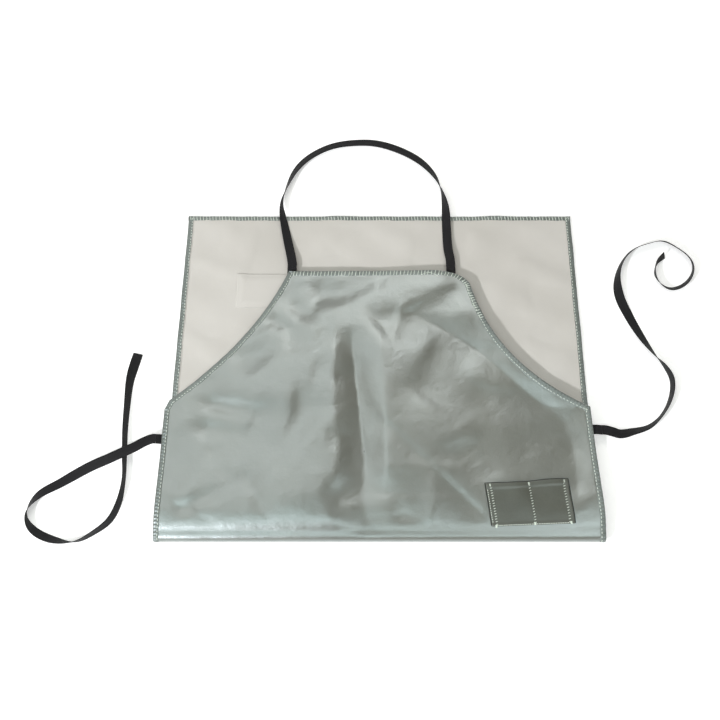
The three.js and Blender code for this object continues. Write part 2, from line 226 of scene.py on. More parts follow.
class Look:
    """A Principled material, with short names for the nodes that the looks below use."""

    def __init__(self, name, **values):
        self.material = bpy.data.materials.new(name)
        self.material.use_nodes = True
        self.tree = self.material.node_tree
        self.shader = self.tree.nodes["Principled BSDF"]
        for key, value in values.items():
            self.shader.inputs[key.replace("_", " ")].default_value = value

    def node(self, kind, **inputs):
        node = self.tree.nodes.new(kind)
        for key, value in inputs.items():
            self.put(value, node.inputs[key.replace("_", " ")])
        return node

    def put(self, value, socket):
        if isinstance(value, bpy.types.NodeSocket):
            self.tree.links.new(value, socket)
        else:
            socket.default_value = value

    def math(self, operation, *values):
        node = self.tree.nodes.new("ShaderNodeMath")
        node.operation = operation
        for value, socket in zip(values, node.inputs):
            self.put(value, socket)
        return node.outputs[0]

    def pattern(self):
        node = self.tree.nodes.new("ShaderNodeUVMap")
        node.uv_map = "pattern"
        return node.outputs[0]

    def place(self):
        return self.node("ShaderNodeTexCoord").outputs["Object"]

    def noise(self, where, scale, detail=3.0, roughness=0.5):
        values = {"Vector": where, "Scale": scale, "Detail": detail, "Roughness": roughness}
        return self.node("ShaderNodeTexNoise", **values).outputs["Fac"]

    def ramp(self, fac, *stops):
        node = self.node("ShaderNodeValToRGB", Fac=fac)
        while len(node.color_ramp.elements) < len(stops):
            node.color_ramp.elements.new(0.5)
        for element, (position, color) in zip(node.color_ramp.elements, stops):
            element.position = position
            element.color = (*color, 1) if len(color) == 3 else color
        return node.outputs["Color"]

    def mix(self, fac, a, b, blend="MIX"):
        node = self.tree.nodes.new("ShaderNodeMix")
        node.data_type = "RGBA"
        node.blend_type = blend
        self.put(fac, node.inputs["Factor"])
        self.put(a, node.inputs["A"])
        self.put(b, node.inputs["B"])
        return node.outputs["Result"]

    def threads(self, where, pitch, turn=0.0):
        """Rows of threads a pitch apart, turned by an angle on the pattern: 0 in the gaps, 1 on top."""
        turned = self.node("ShaderNodeMapping", Vector=where, Rotation=(0, 0, turn))
        parts = self.node("ShaderNodeSeparateXYZ", Vector=turned.outputs[0])
        wave = self.math("SINE", self.math("MULTIPLY", parts.outputs["X"], 2 * math.pi / pitch))
        return self.math("MULTIPLY_ADD", wave, 0.5, 0.5)

    def weave(self, where, pitch):
        return self.math("MULTIPLY", self.threads(where, pitch), self.threads(where, pitch, math.pi / 2))

    def bump(self, height, distance, strength=1.0, under=None):
        node = self.node("ShaderNodeBump", Height=height, Distance=distance, Strength=strength)
        if under is not None:
            self.put(under, node.inputs["Normal"])
        return node.outputs["Normal"]

    def finish(self, color=None, roughness=None, normal=None):
        for name, value in (("Base Color", color), ("Roughness", roughness), ("Normal", normal)):
            if value is not None:
                self.put(value, self.shader.inputs[name])
        return self.material


def scaled(color, share):
    return (*(c * share for c in color), 1)


def coated_fabric(name, light, dark, shine=0.32, index=2.15, coat=0.1):
    """Tightly woven satin-coated cloth. light and dark are the ends of its slow colour change."""
    look = Look(name, Sheen_Weight=0.1, Sheen_Roughness=0.4, Sheen_Tint=(0.8, 0.9, 0.95, 1),
                Specular_IOR_Level=1.0, Specular_Tint=(0.83, 0.94, 0.98, 1), IOR=index,
                Coat_Weight=coat, Coat_Roughness=0.3, Coat_IOR=1.7)
    where = look.pattern()
    weave = look.weave(where, COVER_THREAD_PITCH)
    cloud = look.noise(look.place(), 9.0, 4.0, 0.55)
    color = look.ramp(cloud, (0.3, dark), (0.7, light))
    speck = look.noise(where, 900.0, 2.0)
    color = look.mix(look.math("MULTIPLY", speck, 0.18), color, scaled(dark, 0.72))
    color = look.mix(look.math("MULTIPLY", weave, 0.12), color, scaled(light, 1.3))
    rough = look.math("MULTIPLY_ADD", cloud, 0.06, shine - 0.03)
    folds = look.bump(look.noise(where, 34.0, 5.0, 0.55), 0.0016, 0.55)
    creases = look.bump(look.noise(where, 120.0, 4.0, 0.6), 0.0005, 0.5, folds)
    return look.finish(color, rough, look.bump(weave, 0.00012, 0.5, creases))


def lining_fabric():
    look = Look("lining fabric", Sheen_Weight=0.15, Specular_IOR_Level=0.35)
    where = look.pattern()
    weave = look.weave(where, LINING_THREAD_PITCH)
    cloud = look.noise(look.place(), 7.0, 4.0, 0.5)
    color = look.ramp(cloud, (0.3, (0.47, 0.453, 0.422)), (0.7, (0.525, 0.51, 0.482)))
    color = look.mix(look.math("MULTIPLY", weave, 0.1), color, (0.62, 0.605, 0.575, 1))
    creases = look.bump(look.noise(where, 55.0, 4.0, 0.55), 0.0008, 0.3)
    return look.finish(color, 0.68, look.bump(weave, 0.0001, 0.4, creases))


def tape_fabric():
    """Black herringbone tape: the ribs lean one way on one half of the width and back on the other."""
    look = Look("black tape", Sheen_Weight=0.04, Sheen_Roughness=0.5, Specular_IOR_Level=0.2)
    where = look.pattern()
    parts = look.node("ShaderNodeSeparateXYZ", Vector=where)
    lean = look.math("ABSOLUTE", parts.outputs["X"])
    rib = look.math("ADD", parts.outputs["Y"], lean)
    wave = look.math("SINE", look.math("MULTIPLY", rib, 2 * math.pi / TAPE_RIB_PITCH))
    height = look.math("MULTIPLY_ADD", wave, 0.5, 0.5)
    fuzz = look.noise(where, 1500.0, 2.0)
    color = look.ramp(look.math("MULTIPLY_ADD", height, 0.6, look.math("MULTIPLY", fuzz, 0.4)),
                      (0.2, (0.0035, 0.0035, 0.004)), (0.9, (0.016, 0.016, 0.018)))
    return look.finish(color, 0.72, look.bump(height, 0.0002, 0.8))


def sewing_thread():
    look = Look("pale thread", Sheen_Weight=0.2)
    ply = look.noise(look.place(), 2600.0, 2.0)
    color = look.ramp(ply, (0.35, (0.50, 0.57, 0.50)), (0.65, (0.74, 0.80, 0.72)))
    return look.finish(color, 0.7, look.bump(ply, 0.0001, 0.6))


def lead_vinyl():
    look = Look("lead vinyl", Specular_IOR_Level=0.4)
    grain = look.noise(look.place(), 300.0, 3.0)
    color = look.ramp(grain, (0.3, (0.05, 0.055, 0.06)), (0.7, (0.09, 0.095, 0.10)))
    return look.finish(color, 0.62, look.bump(grain, 0.0001, 0.4))


def backdrop_paper():
    look = Look("backdrop paper", Specular_IOR_Level=0.1,
                Emission_Strength=0.34, Emission_Color=(1, 1, 1, 1))
    grain = look.noise(look.place(), 60.0, 3.0)
    return look.finish(look.ramp(grain, (0.3, (0.87, 0.87, 0.87)), (0.7, (0.89, 0.89, 0.89))), 0.95)


COVER = coated_fabric("cover fabric", (0.102, 0.098, 0.072), (0.076, 0.073, 0.053))
# The pocket is sewn from the cover's cloth. Its darker colours are painted shade, so the pocket reads
# darker than the cover round it.
POCKET = coated_fabric("pocket fabric", (0.072, 0.073, 0.053), (0.055, 0.056, 0.041), 0.42, 1.5, 0.2)
# Painted shade: a near-black, dull copy of the cover cloth, used for the shadow line round the pocket's
# edge.
POCKET_SHADE_LINE = coated_fabric("pocket shade line", (0.022, 0.024, 0.018), (0.014, 0.015, 0.012), 0.6, 1.3, 0.0)
BINDING = coated_fabric("binding fabric", (0.098, 0.112, 0.094), (0.056, 0.066, 0.053), 0.42, 1.7, 0.3)
LINING = lining_fabric()
TAPE = tape_fabric()
THREAD = sewing_thread()
LEAD = lead_vinyl()


# ---- Tapes ----
def catmull_rom(points, steps_per_span=24):
    """A centripetal Catmull-Rom curve through points, as the CAD model's tapes follow."""
    points = np.asarray(points, float)
    ends = np.vstack([2 * points[0] - points[1], points, 2 * points[-1] - points[-2]])
    out = []
    for p0, p1, p2, p3 in zip(ends, ends[1:], ends[2:], ends[3:]):
        knots = [0.0]
        for a, b in ((p0, p1), (p1, p2), (p2, p3)):
            knots.append(knots[-1] + max(np.linalg.norm(b[:3] - a[:3]) ** 0.5, 1e-6))
        for t in np.linspace(knots[1], knots[2], steps_per_span, endpoint=False):
            def between(a, b, ta, tb):
                return a * (tb - t) / (tb - ta) + b * (t - ta) / (tb - ta)
            a1 = between(p0, p1, knots[0], knots[1])
            a2 = between(p1, p2, knots[1], knots[2])
            a3 = between(p2, p3, knots[2], knots[3])
            b1 = between(a1, a2, knots[0], knots[2])
            b2 = between(a2, a3, knots[1], knots[3])
            out.append(between(b1, b2, knots[1], knots[2]))
    out.append(points[-1])
    return np.array(out)


def even_steps(curve, step):
    lengths = np.r_[0, np.cumsum(np.linalg.norm(np.diff(curve[:, :3], axis=0), axis=1))]
    count = int(round(lengths[-1] / step))
    at = np.linspace(0, lengths[-1], count + 1)
    return np.column_stack([np.interp(at, lengths, curve[:, k]) for k in range(curve.shape[1])]), at


def tape_section():
    """The tape's rounded section, as offsets across and through it."""
    half, thick = TAPE_WIDTH / 2, TAPE_THICKNESS / 2
    flat = np.linspace(-half + 0.6, half - 0.6, 7)
    top = [(x, thick * (1 - 0.12 * (abs(x) / half) ** 2)) for x in flat]
    bottom = [(x, -z) for x, z in reversed(top)]
    return np.array([(-half, 0.15), *top, (half, 0.15), (half, -0.15), *bottom, (-half, -0.15)])


def lay_tape(name, route):
    """A flat tape along a route, as a mesh, with its middle line and its length in metres."""
    spots = []
    for x, y, degrees, *height in route:
        roll = math.radians(degrees)
        rise = (TAPE_WIDTH * abs(math.sin(roll)) + TAPE_THICKNESS * abs(math.cos(roll))) / 2
        spots.append((x, y, (height or [TABLE])[0] + rise, roll))
    line, at = even_steps(catmull_rom(spots), 2.0)
    centre = line[:, :3]
    tangent = np.gradient(centre, axis=0)
    tangent /= np.linalg.norm(tangent, axis=1)[:, None]
    level = np.column_stack([tangent[:, 1], -tangent[:, 0], np.zeros(len(line))])
    level /= np.linalg.norm(level, axis=1)[:, None]
    roll = line[:, 3][:, None]
    across = level * np.cos(roll) + np.cross(tangent, level) * np.sin(roll)
    normal = np.cross(across, tangent)
    section = tape_section()
    points = centre[:, None] + across[:, None] * section[None, :, :1]
    points += normal[:, None] * section[None, :, 1:]
    uv = np.stack(np.broadcast_arrays(section[None, :, 0], at[:, None]), -1)
    count = len(section)
    faces = grid_faces(len(line), count, closed=True) + end_caps(len(line), count)
    piece = add_mesh(name, points.reshape(-1, 3), faces, TAPE, uv.reshape(-1, 2))
    return piece, centre * MM, at[-1] * MM


def add_free_tapes():
    for name, node, body, route, far_end in (
        ("neck_strap", "neck_strap_tape", "neck_strap", NECK_ROUTE, "object"),
        ("left_tie", "left_tie_tape", "left_tie", LEFT_TIE_ROUTE, "bare"),
        ("right_tie", "right_tie_tape", "right_tie", RIGHT_TIE_ROUTE, "bare"),
    ):
        piece, path, length = lay_tape(name, route)
        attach(piece, body)
        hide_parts(node)


add_camera()
add_free_tapes()


# ---- The cloth's middle surface ----
def profile_table():
    """The fold's side view: length along the cloth from the hem, y and z."""
    flat_points, bend_points = 400, 60
    quarter = np.linspace(0, math.pi / 2, bend_points)
    skirt_y = np.linspace(Y_HEM, LOWER_Y, flat_points)
    skirt = np.column_stack([skirt_y, np.full(flat_points, SKIRT_MID)])
    under_y = LOWER_Y - (LOWER_Y - TIP_Y) * np.sin(quarter)
    under = np.column_stack([under_y, TIP_Z - (TIP_Z - SKIRT_MID) * np.cos(quarter)])
    turn = np.linspace(0, math.pi / 2 * 0.93, bend_points)
    over_y = RAMP_Y - (RAMP_Y - TIP_Y) * np.cos(turn)
    over = np.column_stack([over_y, TIP_Z + (RAMP_Z - TIP_Z) * np.sin(turn)])
    ys = np.linspace(RAMP_Y + 0.5, Y_TOP + 20, 500)
    climbed = 1 - np.exp(-RAMP_EASE * (ys - RAMP_Y) / (UPPER_Y - RAMP_Y))
    ramp = (BIB_MID_HIGH - RAMP_Z) * climbed / (1 - math.exp(-RAMP_EASE))
    rise = np.minimum(RAMP_Z + ramp, BIB_CREST)
    drop = (BIB_CREST - BIB_MID_LOW) * smoothstep((ys - UPPER_Y) / BIB_SAG_LENGTH)
    bib = np.column_stack([ys, rise - drop])
    line = np.vstack([skirt, under[1:], over[1:], bib[1:]])
    length = np.r_[0, np.cumsum(np.linalg.norm(np.diff(line, axis=0), axis=1))]
    return length, line[:, 0], line[:, 1], length[flat_points + bend_points - 1]


LENGTHS, PROFILE_Y, PROFILE_Z, V_TIP = profile_table()
ON_BIB = LENGTHS >= V_TIP


def bib_v(y):
    return np.interp(y, PROFILE_Y[ON_BIB], LENGTHS[ON_BIB])


def skirt_v(y):
    return Y_HEM - np.asarray(y, float)


V_TOP = float(bib_v(Y_TOP))
V_LOWER = float(skirt_v(LOWER_Y))
V_UPPER = float(bib_v(UPPER_Y))


def quadratic(start, pull, end, count=40):
    t = np.linspace(0, 1, count)[:, None]
    return (1 - t) ** 2 * np.array(start) + 2 * t * (1 - t) * np.array(pull) + t**2 * np.array(end)


def side_outline(right):
    """The pattern's edge on one side, from hem to bib top: columns X and V."""
    sign = 1 if right else -1
    skirt = [(HEM_HALF, Y_HEM), SKIRT_WAIST_CORNER, (FOLD_HALF, LOWER_Y)]
    skirt = [(sign * x, float(skirt_v(y))) for x, y in skirt]
    if right:
        curve = np.vstack([
            quadratic(SIDE_CORNER_RIGHT, ARMHOLE_PULL_RIGHT, BIB_CORNER_RIGHT),
            quadratic(BIB_CORNER_RIGHT, BIB_CORNER_PULL_RIGHT, BIB_TOP_RIGHT)[1:],
        ])
    else:
        curve = quadratic(SIDE_CORNER_LEFT, ARMHOLE_PULL_LEFT, BIB_CORNER_LEFT)[1:]
        curve = np.vstack([(BIB_LEFT_SIDE, SIDE_CORNER_LEFT[1] - CORNER_CUT), curve])
    bib = [(x, float(bib_v(y))) for x, y in curve]
    return np.array([*skirt, (sign * FOLD_HALF, V_UPPER), *bib])


LEFT_EDGE = side_outline(False)
RIGHT_EDGE = side_outline(True)


def edge_x(v, edge):
    return np.interp(v, edge[:, 1], edge[:, 0])


# Lines down the bib that carry its folds, from left to right: (y, x, height) from top to bottom.
# Heights are above the bib's plain profile. EDGE_HEIGHTS has its two edges: (y, height).
FOLD_LINES = (
    ((151, -80, 0), (90, -100, 0.5), (25, -150, 0), (-80, -240, 1.5), (-160, -240, 1), (-240, -240, 0)),
    ((151, -60, 0.5), (70, -66, 1.5), (25, -66, 2.5), (-31, -65, 3), (-69, -65, 3.4), (-115, -59, 3.6),
     (-162, -61, 3.8), (-193, -65, 3.4), (-214, -71, 3.2), (-234, -57, 3.0), (-250, -36, 1.6)),
    ((151, -42, 0.5), (60, -42, 1.2), (25, -40, -3), (-2, -36, -4.5), (-46, -31, -5), (-69, -29, -5),
     (-105, -26, -5.2), (-137, -20, -5), (-160, -21, -4.8), (-193, -24, -4.6), (-220, -20, -4.4),
     (-234, -18, -4.2), (-250, -20, -3.4)),
    ((151, 0, 0.5), (60, 0, 2.5), (29, 1, 4), (-20, 5, 4.5), (-69, 8, 4.5), (-113, 9, 4), (-150, 10, 2.6),
     (-170, 8, -0.6), (-188, 6, -3.2), (-206, 8, -3.4), (-226, 14, -2.4), (-250, 17, -1.0)),
    ((151, 78, 3.0), (140, 88, 3.4), (127, 100, 3.6), (104, 72, 1.6), (83, 46, -1.6), (56, 96, -3.5),
     (24, 143, -4.5), (-22, 190, -4.5), (-61, 235, -4), (-86, 262, -3.5), (-126, 272, -3), (-200, 272, -2),
     (-240, 272, 0)),
)
EDGE_HEIGHTS = (
    ((151, -0.5), (60, -1), (-60, -2), (-240, 0)),
    ((151, 1.5), (127, 2.6), (100, 4), (80, 4.5), (-30, 4.5), (-64, 3), (-140, 2), (-240, 0)),
)
# Shallow hollows in the bib: (x, y, half width, half length, lean in degrees, depth).
HOLLOWS = (
    (-233, -61, 20, 15, -12, 5.0), (-240, -96, 20, 17, -8, 5.2), (-232, -130, 14, 16, 10, 2.4),
    (28, -219, 7, 9, 0, 1.4), (-113, -58, 10, 26, 6, 3.2), (-122, -92, 8, 16, -10, 1.6),
    (-88, 112, 14, 20, 0, 3.2), (-125, 92, 11, 13, -40, 2.2), (-152, 67, 11, 10, -30, 2.2),
    (-175, -88, 10, 26, -25, 1.6), (-176, -180, 7, 34, 30, 1.5), (-262, -205, 24, 10, 25, 1.8),
    (-7, 74, 12, 26, 25, 1.6), (38, -45, 18, 34, 15, 1.6), (150, -55, 26, 20, -25, 1.8),
    (-200, 5, 18, 20, 35, 1.8), (205, -115, 24, 24, 0, 1.2), (-90, -10, 7, 22, -8, 1.4),
    (-128, 30, 9, 14, 12, 1.4), (-215, -160, 14, 12, -30, 1.2), (-60, -20, 7, 16, 0, 1.4),
    (-64, -110, 8, 18, 8, 1.6), (-66, -190, 9, 18, 0, 1.8),
)
# Straight creases: (x0, y0, x1, y1, width on the right, width on the left, height at start, at end).
CREASES = (
    (-2, -78, 140, -216, 26, 9, -1.3, -1.7),
    (74, -150, 72, -236, 26, 40, 0.6, 2.2),
    (34, 96, 18, 40, 12, 20, 1.5, 1.0),
    (-4, 70, 22, 30, 12, 12, -1.0, -0.6),
    (-296, -196, -228, -226, 14, 12, -1.0, -0.6),
    (-40, 25, -29, -69, 3.5, 3.5, -0.9, -1.1), (-29, -69, -20, -140, 3.5, 3.5, -1.1, -0.8),
)


def crease(x, y, x0, y0, x1, y1, right, left, start, end):
    """A V fold along a straight line, as high as start and end say, which fades out past its ends."""
    dx, dy = x1 - x0, y1 - y0
    length = math.hypot(dx, dy)
    along = ((x - x0) * dx + (y - y0) * dy) / length
    side = ((x - x0) * dy - (y - y0) * dx) / length
    reach = np.where(side > 0, right, left)
    shape = np.clip(1 - np.abs(side) / reach, 0, 1) ** 1.5
    fade = smoothstep((along + 12) / 24) * smoothstep((length + 12 - along) / 24)
    return shape * fade * (start + (end - start) * np.clip(along / length, 0, 1))


def hollow(x, y, cx, cy, wide, long, lean, depth):
    """A dent, steep on its left and gentle on its right."""
    turn = math.radians(lean)
    a = (x - cx) * math.cos(turn) + (y - cy) * math.sin(turn)
    b = -(x - cx) * math.sin(turn) + (y - cy) * math.cos(turn)
    reach = np.where(a < 0, wide, 3 * wide)
    return -depth * np.exp(-((a / reach) ** 2) - (b / long) ** 2)


def along_y(points, y, column):
    table = np.array(points, float)[::-1]
    return np.interp(y, table[:, 0], table[:, column])


def fold_heights(x, y):
    """Heights of the bib's folds over its plain profile, between the fold lines."""
    v = bib_v(y)
    lines = [(edge_x(v, LEFT_EDGE), along_y(EDGE_HEIGHTS[0], y, 1))]
    lines += [(along_y(line, y, 1), along_y(line, y, 2)) for line in FOLD_LINES]
    lines.append((edge_x(v, RIGHT_EDGE), along_y(EDGE_HEIGHTS[1], y, 1)))
    height = lines[0][1].copy()
    for (x0, z0), (x1, z1) in zip(lines, lines[1:]):
        t = np.clip((x - x0) / np.maximum(x1 - x0, 1), 0, 1)
        height = np.where(x >= x0, z0 + (z1 - z0) * t, height)
    for c in CREASES:
        height = height + crease(x, y, *c)
    for c in HOLLOWS:
        height = height + hollow(x, y, *c)
    return height


def blur(field, sigma):
    reach = int(3 * sigma) + 1
    kernel = np.exp(-0.5 * (np.arange(-reach, reach + 1) / sigma) ** 2)
    kernel /= kernel.sum()
    for axis in (0, 1):
        padded = np.pad(field, [(reach, reach) if a == axis else (0, 0) for a in (0, 1)], mode="edge")
        field = np.apply_along_axis(lambda line: np.convolve(line, kernel, mode="valid"), axis, padded)
    return field


def cubic_weights(t):
    """B-spline weights of four neighbours."""
    near, far = 3 * t**3 - 6 * t**2 + 4, -3 * t**3 + 3 * t**2 + 3 * t + 1
    return (1 - t) ** 3 / 6, near / 6, far / 6, t**3 / 6


class Field:
    """Numbers on an even grid, read smoothly in between."""

    def __init__(self, values, row_start, row_step, col_start, col_step):
        self.values = values
        self.rows = (row_start, row_step)
        self.cols = (col_start, col_step)

    def at(self, row, col):
        height, width = self.values.shape
        i = np.clip((row - self.rows[0]) / self.rows[1], 1, height - 2.001)
        j = np.clip((col - self.cols[0]) / self.cols[1], 1, width - 2.001)
        i0, j0 = np.floor(i).astype(int), np.floor(j).astype(int)
        total = 0
        for di, wi in enumerate(cubic_weights(i - i0)):
            row = np.minimum(i0 + di - 1, height - 1)
            for dj, wj in enumerate(cubic_weights(j - j0)):
                total = total + wi * wj * self.values[row, np.minimum(j0 + dj - 1, width - 1)]
        return total


def relief(heights, y_range, step, sigma):
    """A height field over the places of the apron seen from above."""
    xs = np.arange(-330, 330 + step, step)
    ys = np.arange(y_range[0], y_range[1] + step, step)
    grid_x, grid_y = np.meshgrid(xs, ys)
    return Field(blur(heights(grid_x, grid_y), sigma / step), ys[0], step, xs[0], step)


TAPE_COLUMNS = ((-147, 45), (104, 35))


def skirt_waves(x, y):
    """Slow rises of the skirt's lining off the table, with flat places where the neck strap lies."""
    wave = 1.3 * np.sin(x / 19 + y / 40 + 0.9) * np.sin(y / 15 + 0.4) + 0.9 * np.sin(x / 13 - y / 21)
    wave = np.clip(0.9 * wave + 0.7, 0, None)
    for column, reach in TAPE_COLUMNS:
        wave = wave * (1 - np.exp(-(((x - column) / reach) ** 4)))
    return wave * smoothstep((y - LOWER_Y) / 60)


BIB_RELIEF = relief(fold_heights, (-270, 180), 1.5, 1.9)
SKIRT_RELIEF = relief(skirt_waves, (-270, 270), 4.0, 4.0)


def cross_share(x, v):
    """How far across the pattern a point is: 0 on its left edge, 1 on its right edge."""
    left, right = edge_x(v, LEFT_EDGE), edge_x(v, RIGHT_EDGE)
    return (x - left) / (right - left)


CLOTH = None


def middle(x, v):
    """The place of a pattern point on the cloth's middle surface."""
    x, v = np.broadcast_arrays(np.asarray(x, float), np.asarray(v, float))
    y = np.interp(v, LENGTHS, PROFILE_Y)
    z = np.interp(v, LENGTHS, PROFILE_Z)
    on_bib = smoothstep((v - V_TIP) / (V_UPPER - V_TIP))
    on_skirt = smoothstep((V_LOWER - v) / 20)
    z = z + on_bib * BIB_RELIEF.at(y, x) + on_skirt * SKIRT_RELIEF.at(y, x)
    if CLOTH is not None:
        lift = CLOTH.at(v, cross_share(x, v))
        z = z + on_bib * lift + on_skirt * np.clip(lift, 0, None)
    return np.stack([x, y, z], -1)


def surface(x, v, h=0.0):
    """The place of a pattern point, h above the cloth's middle on the cover's side."""
    step = 1.0
    across = middle(x + step, v) - middle(x - step, v)
    down = middle(x, v + step) - middle(x, v - step)
    normal = np.cross(across, down)
    normal /= np.linalg.norm(normal, axis=-1, keepdims=True)
    return middle(x, v) + normal * np.asarray(h, float)[..., None]


# ---- Cloth simulation ----
SIMULATED_ROWS = 110
SIMULATED_COLS = 76
LIFT_CAP = 1.5
SIMULATED_FRAMES = 18
CLOTH_SETTINGS = {
    "quality": 6, "mass": 0.25, "tension_stiffness": 20, "compression_stiffness": 20, "shear_stiffness": 8,
    "bending_stiffness": 1.2, "vertex_group_mass": "held", "shrink_min": -0.022,
}


def simulate_cloth():
    """Buckles of a slightly slack cloth, held at its edges and its fold: heights over the drawn surface."""
    v = np.linspace(0, V_TOP, SIMULATED_ROWS)
    u = np.linspace(0, 1, SIMULATED_COLS)
    left, right = edge_x(v, LEFT_EDGE)[:, None], edge_x(v, RIGHT_EDGE)[:, None]
    x = left + (right - left) * u[None, :]
    start = middle(x, v[:, None])
    rng = np.random.default_rng(21)
    start[..., 2] += rng.uniform(-0.15, 0.15, x.shape)
    piece = add_mesh("simulated_cloth", start.reshape(-1, 3), grid_faces(*x.shape), COVER)
    from_side = np.minimum(u, 1 - u)[None, :] * (right - left)
    edge = np.minimum(from_side, np.minimum(v, V_TOP - v)[:, None])
    from_fold = np.abs(v - V_TIP)[:, None]
    hold = np.maximum(1 - edge / 16, 1 - (from_fold - 20) / 30).clip(0, 1)
    group = piece.vertex_groups.new(name="held")
    for index, weight in enumerate(hold.ravel()):
        group.add([index], float(weight), "REPLACE")
    cloth = piece.modifiers.new("cloth", "CLOTH")
    for key, value in CLOTH_SETTINGS.items():
        setattr(cloth.settings, key, value)
    cloth.settings.effector_weights.gravity = 0
    cloth.point_cache.frame_end = SIMULATED_FRAMES
    for number in range(1, SIMULATED_FRAMES + 1):
        bpy.context.scene.frame_set(number)
    made = piece.evaluated_get(bpy.context.evaluated_depsgraph_get()).data
    places = np.empty(len(made.vertices) * 3)
    made.vertices.foreach_get("co", places)
    lift = places.reshape(start.shape)[..., 2] / MM - start[..., 2]
    bpy.data.objects.remove(piece)
    bpy.context.scene.frame_set(1)
    lift = LIFT_CAP * np.tanh(np.nan_to_num(lift) / LIFT_CAP)
    return Field(blur(lift, 0.8), 0, v[1], 0, u[1])


CLOTH = simulate_cloth()


# ---- Sheets ----
def even_rows(start, end, step):
    return np.linspace(start, end, max(2, int(round((end - start) / step)) + 1))


def sheet_rows(inset, step):
    """Rows along the pattern, close together where the bib's top corner is round."""
    end = V_TOP - inset
    corner = CORNER_DEPTH - inset
    last = end - corner * (1 - np.linspace(0, 1, 12)) ** 2
    return np.r_[even_rows(inset, end - corner, step)[:-1], last]


def sheet(name, inset, step, outer, inner, material):
    """A sheet of the whole pattern, inset from its edge, between two heights over the cloth's middle."""
    rows = sheet_rows(inset, step)
    cols = int(2 * FOLD_HALF / step) + 1
    u = np.linspace(0, 1, cols)
    left = edge_x(rows, LEFT_EDGE) + inset
    right = edge_x(rows, RIGHT_EDGE) - inset
    x = left[:, None] + (right - left)[:, None] * u[None, :]
    v = np.broadcast_to(rows[:, None], x.shape)
    points = np.vstack([surface(x, v, h).reshape(-1, 3) for h in (outer, inner)])
    uv = np.tile(np.stack([x, v], -1).reshape(-1, 2), (2, 1))
    piece = add_mesh(name, points, slab_faces(*x.shape), material, uv)
    return piece, np.tile(v.ravel(), 2)


def bend_at_fold(piece):
    """Bakes the piece's place into its points. It does not bend the piece round the fold."""
    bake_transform(piece)


def add_sheets():
    for name, inset, step, outer, inner, material, slot in (
        ("outer_cover", 6.0, 3.0, HALF_THICK, HALF_THICK - 0.6, COVER, "coated_fabric"),
        ("lead_sheet_front", 2.0, 8.0, 1.1, 0.2, LEAD, "lead_sheet"),
        ("lead_sheet_back", 2.0, 8.0, -0.1, -1.0, LEAD, "lead_sheet"),
        ("lining", 6.0, 4.0, -HALF_THICK + 0.5, -HALF_THICK, LINING, "lining_fabric"),
    ):
        piece, v = sheet(name, inset, step, outer, inner, material)
        bend_at_fold(piece)
        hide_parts(f"skirt_{name}", f"fold_{name}", f"bib_{name}")


# ---- Bindings ----
def edge_path(points, step=1.2):
    """Even steps along a pattern line, with the way inwards at each step, which is on its left."""
    points = np.asarray(points, float)
    lengths = np.r_[0, np.cumsum(np.linalg.norm(np.diff(points, axis=0), axis=1))]
    at = even_rows(0, lengths[-1], step)
    line = np.column_stack([np.interp(at, lengths, points[:, k]) for k in (0, 1)])
    along = np.gradient(line, axis=0)
    along /= np.linalg.norm(along, axis=1)[:, None]
    inwards = np.column_stack([-along[:, 1], along[:, 0]])
    return line, inwards, at


def binding_section():
    """The binding's closed section: distance in from the edge, height over the cloth's middle."""
    outer = HALF_THICK + BINDING_PROUD
    side = [(BINDING_WIDTH, HALF_THICK - 0.4), (BINDING_WIDTH, HALF_THICK + 0.12),
            (BINDING_WIDTH - 0.7, outer - 0.05), (5.0, outer), (3.0, outer), (1.5, outer - 0.1),
            (0.5, outer - 0.6), (0.05, outer - 1.5), (0, 0)]
    inner = [(0.9, 0), (1.2, HALF_THICK - 0.7), (BINDING_WIDTH - 0.5, HALF_THICK - 0.6)]
    outside = side + [(d, -h) for d, h in reversed(side[:-1])]
    inside = [(d, -h) for d, h in reversed(inner)] + inner[1:]
    return np.array(outside + inside)


def pucker(at, seed, size):
    """A slow, uneven wave along a seam."""
    rng = np.random.default_rng(seed)
    total = np.zeros(len(at))
    for _ in range(7):
        wavelength = rng.uniform(9, 46)
        total += rng.uniform(0.3, 1) * np.sin(2 * math.pi * at / wavelength + rng.uniform(0, 6.3))
    return size * total / 2.2


def binding(name, outline, seed, pitch, waviness=0.22):
    """The gathered cloth turned over an edge, along a pattern line with the cloth on its left."""
    line, inwards, at = edge_path(outline)
    section = binding_section()
    wave = pucker(at, seed, waviness)
    swell = pucker(at, seed + 50, 0.12)
    inner_edge = np.where(section[None, :, 0] > BINDING_WIDTH - 2, 1, 0)
    d = section[None, :, 0] + inner_edge * pucker(at, seed + 90, 0.35)[:, None]
    bulge = np.sin(np.pi * np.clip(d / BINDING_WIDTH, 0, 1))
    gather = GATHER_DEPTH * np.cos(2 * math.pi * at / pitch)[:, None] * bulge
    h = section[None, :, 1] * (1 + 0.5 * np.clip(swell, -0.2, 0.2)[:, None] + gather)
    x = line[:, :1] + inwards[:, :1] * d
    v = line[:, 1:] + inwards[:, 1:] * d
    v = np.clip(v, 0, LENGTHS[-1] - 2)
    points = surface(x, v, h)
    near_edge = np.clip(1 - d / BINDING_WIDTH, 0, 1)
    points[..., 2] += np.abs(wave[:, None]) * near_edge
    count = len(section)
    faces = grid_faces(len(line), count, closed=True) + end_caps(len(line), count)
    uv = np.stack([x, v], -1).reshape(-1, 2)
    piece = add_mesh(name, points.reshape(-1, 3), faces, BINDING, uv)
    return piece, v.ravel()


def outline_stretch(edge, v0, v1):
    """The points of one side's edge between two lengths along the pattern."""
    inside = edge[(edge[:, 1] > v0) & (edge[:, 1] < v1)]
    return np.vstack([(edge_x(v0, edge), v0), inside, (edge_x(v1, edge), v1)])


